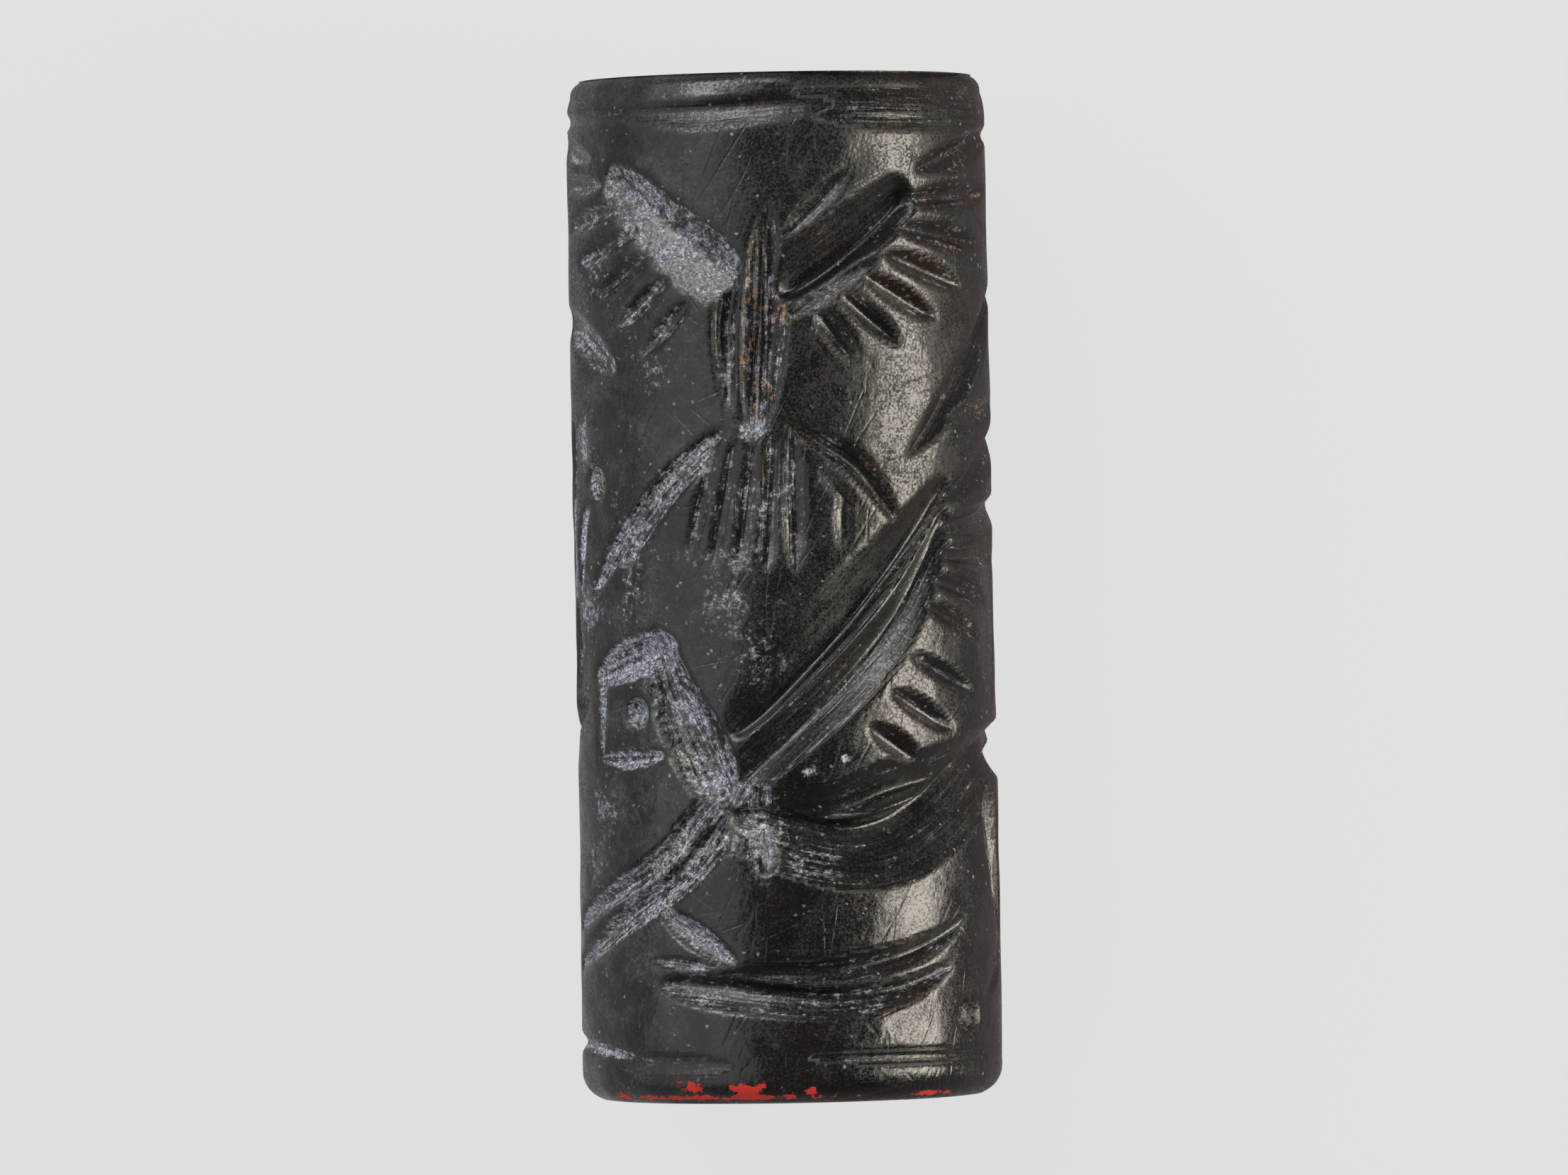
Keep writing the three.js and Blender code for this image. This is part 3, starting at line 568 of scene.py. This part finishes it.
def stone_mesh(shape):
    """The outline carried round the bore, closed both ways, with the carved sheet taken out of its wall."""
    around, along, fine = shape.around, shape.along, shape.fineness
    rings, wall, (low, high) = outline(shape, along)
    sheet = Sheet(around * fine, along * fine, low, high)
    carve(sheet, shape)
    phi = (np.arange(around) + 0.5) * 2 * np.pi / around - np.pi

    inward = np.zeros((len(rings), around))
    inward[wall] = coarser(sheet.depth, fine) - coarser(sheet.swell, fine)
    # the cuts at the wall's ends run out over its rims
    inward[wall.start - RIM_RINGS + 1 : wall.start] = inward[wall.start]
    inward[wall.stop : wall.stop + RIM_RINGS] = inward[wall.stop - 1]
    radius = rings[:, :1] - inward
    x, y = radius * np.sin(phi), np.broadcast_to(rings[:, 1:], radius.shape)
    z = np.maximum(AXIS_HEIGHT + radius * np.cos(phi), 0)
    points = np.stack([x, y, z], -1).reshape(-1, 3) * MM

    i, j = np.meshgrid(np.arange(len(rings)), np.arange(around), indexing="ij")
    i_next, j_next = (i + 1) % len(rings), (j + 1) % around
    quads = np.stack([i * around + j, i * around + j_next, i_next * around + j_next, i_next * around + j], -1)
    mesh = bpy.data.meshes.new("carved_stone")
    mesh.from_pydata(points, [], quads.reshape(-1, 4))
    mesh.shade_smooth()

    def attribute(name, values):
        data = mesh.attributes.new(name, "FLOAT", "POINT").data
        data.foreach_set("value", values.astype(np.float32).ravel())

    def wall_attribute(name, values):
        full = np.zeros(inward.shape)
        full[wall] = values
        attribute(name, full)

    wall_attribute("cut", coarser(sheet.depth, fine))
    wall_attribute("dust", coarser(sheet.dust, fine))
    wall_attribute("earth", coarser(sheet.earth, fine))
    wall_attribute("marks", coarser(sheet.marks, fine))
    # a mean of two strokes' places would belong to neither, so each face takes its middle sample's
    middle = slice(fine // 2, None, fine)
    wall_attribute("stroke_along", sheet.along[middle, middle])
    wall_attribute("stroke_across", sheet.across[middle, middle])
    u, v = np.meshgrid(phi * RADIUS, rings[:, 1])
    # dust spots, a few of them painted highlights
    attribute("spots", soft_spots(u, v, DUST_AND_HIGHLIGHT_SPOTS))
    attribute("paint", soft_spots(u, v, PAINT_SPOTS))
    # the bore isn't polished, and nor are the inner edges of its mouths
    bore = np.zeros(len(rings))
    bore[-BORE_RINGS - 1 :] = 1
    bore[:2] = 1
    attribute("bore", np.repeat(bore, around))
    return mesh


# ---- Finish ----


class Nodes:
    """Adds shader nodes to a tree and joins them up."""

    def __init__(self, tree):
        self.tree = tree

    def add(self, kind, **values):
        """A node with its settings and inputs: a value for an input may be another node's output."""
        node = self.tree.nodes.new(kind)
        for name, value in values.items():
            if hasattr(node, name):
                setattr(node, name, value)
        for name, value in values.items():
            if hasattr(node, name):
                continue
            key = name.replace("_", " ")
            socket = next(s for s in node.inputs if s.enabled and s.name.lower() == key.lower())
            self.join(value, socket)
        return node

    def join(self, value, socket):
        if isinstance(value, bpy.types.NodeSocket):
            self.tree.links.new(value, socket)
        else:
            socket.default_value = value

    def math(self, operation, *values, clamp=False):
        node = self.tree.nodes.new("ShaderNodeMath")
        node.operation, node.use_clamp = operation, clamp
        for value, socket in zip(values, node.inputs):
            self.join(value, socket)
        return node.outputs[0]

    def mix(self, factor, a, b):
        """Colour a where the factor is 0 and colour b where it is 1."""
        node = self.tree.nodes.new("ShaderNodeMix")
        node.data_type = "RGBA"
        # the node has sockets for other kinds of value too, and these three are the factor and the colours
        for value, index in ((factor, 0), (a, 6), (b, 7)):
            if not isinstance(value, bpy.types.NodeSocket) and index:
                value = (*value, 1.0)
            self.join(value, node.inputs[index])
        return node.outputs[2]

    def ramp(self, value, low, high):
        """0 at or below low, 1 at or above high, smooth between."""
        node = self.tree.nodes.new("ShaderNodeMapRange")
        node.interpolation_type = "SMOOTHSTEP"
        self.join(value, node.inputs[0])
        self.join(low, node.inputs[1])
        self.join(high, node.inputs[2])
        return node.outputs[0]

    def attribute(self, name):
        node = self.tree.nodes.new("ShaderNodeAttribute")
        node.attribute_name = name
        return node.outputs["Fac"]

    def stretched(self, turn, scale):
        """Object coordinates, turned and then stretched."""
        coordinates = self.tree.nodes.new("ShaderNodeTexCoord").outputs["Object"]
        turned = self.add("ShaderNodeMapping", Vector=coordinates, Rotation=turn)
        return self.add("ShaderNodeMapping", Vector=turned.outputs[0], Scale=scale).outputs[0]


def black_stone(finish):
    """Polished black stone with a scratched gloss, rougher cuts, and dust, earth and red paint in places, and
    a painted sheen on its -X side.

    The scales of its noises and grains are in cells to the metre.
    """
    material = bpy.data.materials.new("black_stone")
    material.use_nodes = True
    nodes = Nodes(material.node_tree)
    tree = material.node_tree
    tree.nodes.clear()
    place = tree.nodes.new("ShaderNodeTexCoord").outputs["Object"]
    add, times = (lambda a, b: nodes.math("ADD", a, b)), (lambda a, b: nodes.math("MULTIPLY", a, b))

    cut_depth, dust_share = nodes.attribute("cut"), nodes.attribute("dust")
    earth_share, bore = nodes.attribute("earth"), nodes.attribute("bore")
    in_cut = nodes.math("MAXIMUM", nodes.ramp(cut_depth, 0.02, 0.1), bore)
    on_wall = nodes.math("SUBTRACT", 1.0, in_cut)

    def noise(scale, detail=3.0, roughness=0.6, vector=None):
        node = nodes.add("ShaderNodeTexNoise", Vector=vector or place, Scale=scale, Detail=detail,
                         Roughness=roughness)
        return node.outputs["Fac"]

    def grains(scale):
        """A random value for each small cell of the stone."""
        node = tree.nodes.new("ShaderNodeTexVoronoi")
        nodes.join(place, node.inputs["Vector"])
        node.inputs["Scale"].default_value = scale
        return nodes.add("ShaderNodeSeparateColor", Color=node.outputs["Color"]).outputs[0]

    def scratches(turn, spacing, reach, share):
        """Straight scratches of one direction: where a drawn-out noise crosses its middle, here and there."""
        drawn = noise(1.0, 0.0, 0.5, nodes.stretched((0, 0, turn), (1 / spacing, 1 / reach, 1 / reach)))
        line = nodes.math("SUBTRACT", 1.0, nodes.ramp(nodes.math("ABSOLUTE", add(drawn, -0.5)), 0.0, 0.05))
        patch = noise(1.0, 1.0, 0.5, nodes.stretched((0, 0, turn), (0.4 / spacing, 1.5 / reach, 1.5 / reach)))
        return times(line, nodes.ramp(patch, 1 - share, 1.04 - share))

    # streaks that the tools left along the cuts
    along, across = nodes.attribute("stroke_along"), nodes.attribute("stroke_across")
    streak_at = nodes.add("ShaderNodeCombineXYZ", X=times(along, 0.35), Y=times(across, 8.0)).outputs[0]
    streaks, grooves = noise(1.0, 4.0, 0.75, streak_at), noise(1.0, 2.0, 0.55, streak_at)
    marks = nodes.attribute("marks")

    # the stone: black, with faint redder patches and cloudy grain, and greyer where the tools' streaks are
    body = nodes.mix(nodes.ramp(noise(330), 0.5, 0.66), finish.stone, finish.warm_stone)
    cloud = nodes.ramp(noise(420, 4.0, 0.7), 0.38, 0.6)
    body = nodes.mix(times(cloud, nodes.ramp(noise(5000, 4.0, 0.75), 0.35, 0.6)), body, finish.cut_stone)
    body = nodes.mix(times(in_cut, nodes.ramp(streaks, 0.45, 0.7)), body, finish.cut_stone)

    # dust: a haze of fine grains in the dusty cuts and on worn places, a few of which are painted highlights,
    # thick and thin along the streaks
    settled = times(dust_share, nodes.ramp(cut_depth, 0.0, 0.12))
    spread = nodes.math("MAXIMUM", settled, nodes.attribute("spots"))
    patchy = add(times(noise(1100, 4.0, 0.7), 1.6), times(noise(5500, 3.0, 0.75), 2.2))
    drawn = nodes.mix(nodes.ramp(marks, 0.0, 0.9), (0.5, 0.5, 0.5), streaks)
    dusty = nodes.ramp(add(add(spread, patchy), times(drawn, 2.6)), 3.6, 4.35)
    fine_grain = nodes.math("POWER", grains(21000), 1.6)
    cover = times(dusty, add(times(fine_grain, 0.85), 0.12))
    dust = nodes.mix(nodes.ramp(noise(500, 2.0), 0.5, 0.7), finish.dust, finish.pale_dust)

    # and a painted sheen all over the -X side: a faint pale haze in the dust colour that stands in for the
    # light from the left, with a few lone specks of real dust everywhere
    sides = nodes.add("ShaderNodeSeparateXYZ", Vector=place).outputs
    # painted sheen: the -X side made paler where the light from the left falls
    painted_sheen_side = nodes.ramp(sides["X"], -0.5 * MM, -4.0 * MM)
    specks = times(nodes.ramp(grains(14000), 0.988, 0.995), nodes.ramp(noise(900, 2.0), 0.4, 0.65))
    haze = times(nodes.ramp(noise(700, 5.0, 0.75), 0.42, 0.68), add(times(grains(17000), 0.08), 0.005))
    sheen_and_specks = nodes.math("MAXIMUM", times(haze, painted_sheen_side), times(specks, 0.36))
    # the dust colour here paints both the real dust and the painted sheen on the -X side
    colour = nodes.mix(nodes.math("MAXIMUM", cover, sheen_and_specks), body, dust)

    # earth: crumbs drawn out along the streaks
    crumb = nodes.ramp(add(times(noise(6500, 3.0), 0.65), times(streaks, 0.35)), 0.55, 0.6)
    earthy = times(times(crumb, earth_share), nodes.ramp(noise(800), 0.45, 0.6))
    colour = nodes.mix(times(earthy, 0.8), colour, finish.earth)

    # red paint: thin flecks
    ragged = times(add(noise(2600, 4.0, 0.75), -0.5), 2.2)
    flecks = nodes.ramp(add(nodes.attribute("paint"), ragged), 0.5, 0.6)
    colour = nodes.mix(flecks, colour, finish.paint)

    # scratches on the polished wall, in a few directions
    worn = scratches(0.5, 0.5 * MM, 5 * MM, 0.46)
    for turn, spacing, reach, share in ((-0.75, 0.6, 4, 0.44), (1.3, 0.6, 5, 0.42), (0.12, 0.4, 3, 0.46)):
        worn = nodes.math("MAXIMUM", worn, scratches(turn, spacing * MM, reach * MM, share))
    worn = times(worn, on_wall)

    # the relief: scratches, slow dents, the marks of grinding, grit, the tools' grooves, dust and paint
    grit = noise(10000, 2.0, 0.55)
    grinding = noise(1.0, 2.0, 0.6, nodes.stretched((0, 0, 0.25), (3600, 800, 800)))
    height = times(worn, -1.0)
    height = add(height, times(noise(1500, 2.0, 0.5), 5.0))
    height = add(height, times(grinding, 2.2))
    height = add(height, times(grit, 1.2))
    height = add(height, times(times(grooves, marks), 3.0))
    height = add(height, times(times(fine_grain, dusty), 1.2))
    height = add(height, times(flecks, 5.0))
    bump = nodes.add("ShaderNodeBump", Height=height, Strength=1.0, Distance=0.006 * MM)

    # the gloss: dulled in fine spots, more towards the upper end, and in the cuts, the dust and the paint
    dull = nodes.ramp(add(times(noise(15000, 2.0, 0.6), 0.7), times(noise(1100, 3.0, 0.6), 0.3)), 0.4, 0.66)
    upper = times(on_wall, nodes.ramp(sides["Y"], -7.0 * MM, 3.0 * MM))
    rough = add(0.1, times(noise(1300), 0.08))
    rough = add(rough, times(dull, add(times(upper, 0.14), 0.36)))
    rough = add(rough, times(upper, 0.07))
    rough = add(rough, times(times(in_cut, nodes.ramp(streaks, 0.42, 0.6)), 0.14))
    rough = add(rough, times(worn, 0.1))
    rough = nodes.math("ADD", rough, times(nodes.math("MAXIMUM", dusty, flecks), 0.45), clamp=True)

    shader = nodes.add("ShaderNodeBsdfPrincipled", Base_Color=colour, Roughness=rough, Normal=bump.outputs[0])
    shader.inputs["IOR"].default_value = 1.55
    output = tree.nodes.new("ShaderNodeOutputMaterial")
    tree.links.new(shader.outputs[0], output.inputs[0])
    return material


def floor_paper(colour, glow):
    """Smooth pale paper with a faint mottle, lit a little from below as on a light table."""
    material = bpy.data.materials.new("floor_paper")
    material.use_nodes = True
    nodes = Nodes(material.node_tree)
    shader = next(n for n in material.node_tree.nodes if n.type == "BSDF_PRINCIPLED")
    place = material.node_tree.nodes.new("ShaderNodeTexCoord").outputs["Object"]
    mottle = nodes.add("ShaderNodeTexNoise", Vector=place, Scale=60.0, Detail=2.0).outputs["Fac"]
    nodes.join(nodes.mix(mottle, colour, [c * 0.985 for c in colour]), shader.inputs["Base Color"])
    shader.inputs["Roughness"].default_value = 0.9
    shader.inputs["Specular IOR Level"].default_value = 0.1
    shader.inputs["Emission Color"].default_value = (1, 1, 1, 1)
    shader.inputs["Emission Strength"].default_value = glow
    return material


def room(pale, left, right, high):
    """A room that is pale to look at, but that the stone reflects as dim: left, right and high overhead."""
    world = bpy.data.worlds.new("room")
    world.use_nodes = True
    tree = world.node_tree
    nodes = Nodes(tree)
    background = next(n for n in tree.nodes if n.type == "BACKGROUND")
    direction = tree.nodes.new("ShaderNodeTexCoord").outputs["Generated"]
    toward = nodes.add("ShaderNodeSeparateXYZ", Vector=direction)
    low = nodes.mix(nodes.ramp(toward.outputs[0], -0.3, 0.3), left, right)
    dim = nodes.mix(nodes.ramp(toward.outputs[2], -0.3, 0.5), low, high)
    seen = tree.nodes.new("ShaderNodeLightPath").outputs["Is Camera Ray"]
    nodes.join(nodes.mix(seen, dim, pale), background.inputs[0])
    return world


# ---- Operators ----


# Soft panels: name, lean from straight up and turn about it in degrees, distance, size, colour and radiance.
PANELS = [
    ("warm_panel", 69, 0, 0.32, (0.16, 0.2), (1.0, 0.92, 0.8), 10.4),
    ("cool_panel", -52, 0, 0.36, (0.5, 0.4), (0.97, 0.98, 1.0), 0.85),
    ("top_panel", 47, 120, 0.4, (0.36, 0.18), (1.0, 0.97, 0.92), 6.5),
]

# The view's width over its height.
VIEW_SHAPE = 2212 / 1657


class SEAL_OT_make_stone(bpy.types.Operator):
    """Makes the pierced and carved stone"""

    bl_idname = "seal.make_stone"
    bl_label = "Carved Stone"

    def execute(self, context):
        shape, finish, _ = seal_settings(context)
        stone = bpy.data.objects.new("carved_stone", stone_mesh(shape))
        context.scene.collection.objects.link(stone)
        stone.data.materials.append(black_stone(finish))
        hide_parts("seal_stone")
        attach(stone, "root")
        return {"FINISHED"}


class SEAL_OT_make_studio(bpy.types.Operator):
    """Makes the floor, the soft lights and the camera that looks down on the stone"""

    bl_idname = "seal.make_studio"
    bl_label = "Studio"

    def execute(self, context):
        _, _, studio = seal_settings(context)
        scene = context.scene
        scene.view_settings.view_transform = "Standard"
        self.floor(scene, studio)
        self.lights(scene)
        self.camera(scene, studio)
        return {"FINISHED"}

    def floor(self, scene, studio):
        mesh = bpy.data.meshes.new("floor")
        reach = 3.0
        mesh.from_pydata([(-reach, -reach, 0), (reach, -reach, 0), (reach, reach, 0), (-reach, reach, 0)], [],
                         [(0, 1, 2, 3)])
        mesh.materials.append(floor_paper(studio.floor, studio.glow))
        floor = bpy.data.objects.new("floor", mesh)
        floor.visible_glossy = False
        scene.collection.objects.link(floor)

    def lights(self, scene):
        """The soft panels, aimed at the stone, and a dim room around."""
        for name, lean, turn, distance, size, colour, radiance in PANELS:
            light = bpy.data.lights.new(name, "AREA")
            light.shape = "RECTANGLE"
            light.size, light.size_y = size
            light.energy, light.color = radiance * np.pi * size[0] * size[1], colour
            panel = bpy.data.objects.new(name, light)
            lean, turn = np.radians(lean), np.radians(turn)
            across = np.sin(lean)
            panel.location = distance * Vector((across * np.cos(turn), across * np.sin(turn), np.cos(lean)))
            panel.rotation_euler = (-panel.location).to_track_quat("-Z", "Y").to_euler()
            scene.collection.objects.link(panel)
        scene.world = room(pale=(0.76, 0.76, 0.76), left=(0.4, 0.39, 0.39), right=(0.255, 0.22, 0.21),
                           high=(0.07, 0.068, 0.068))

    def camera(self, scene, studio):
        data = bpy.data.cameras.new("camera")
        data.sensor_width = 36
        data.lens = data.sensor_width * studio.distance / (studio.view_height * VIEW_SHAPE)
        data.clip_start, data.clip_end = 0.01, 10
        camera = bpy.data.objects.new("camera", data)
        camera.location = (0, 0, AXIS_HEIGHT * MM + studio.distance)
        camera.rotation_euler = (0, 0, -studio.tilt)
        scene.collection.objects.link(camera)
        scene.camera = camera


class SEAL_PT_panel(bpy.types.Panel):
    """Lists the settings and the makers"""

    bl_label = "Cylinder Seal"
    bl_idname = "SEAL_PT_panel"
    bl_space_type = "VIEW_3D"
    bl_region_type = "UI"
    bl_category = "Seal"

    def draw(self, context):
        makers = ("seal.make_stone", "seal.make_stone", "seal.make_studio")
        for settings, maker in zip(seal_settings(context), makers):
            box = self.layout.box()
            for name in settings.__annotations__:
                box.prop(settings, name)
            box.operator(maker)


CLASSES = (SealShape, StoneFinish, StudioLight, SEAL_OT_make_stone, SEAL_OT_make_studio, SEAL_PT_panel)


def register():
    for cls in CLASSES:
        bpy.utils.register_class(cls)
    bpy.types.Scene.seal_shape = bpy.props.PointerProperty(type=SealShape)
    bpy.types.Scene.seal_finish = bpy.props.PointerProperty(type=StoneFinish)
    bpy.types.Scene.seal_studio = bpy.props.PointerProperty(type=StudioLight)


def unregister():
    del bpy.types.Scene.seal_shape, bpy.types.Scene.seal_finish, bpy.types.Scene.seal_studio
    for cls in reversed(CLASSES):
        bpy.utils.unregister_class(cls)


def main():
    register()
    bpy.ops.seal.make_stone()
    bpy.ops.seal.make_studio()


if __name__ == "__main__":
    main()
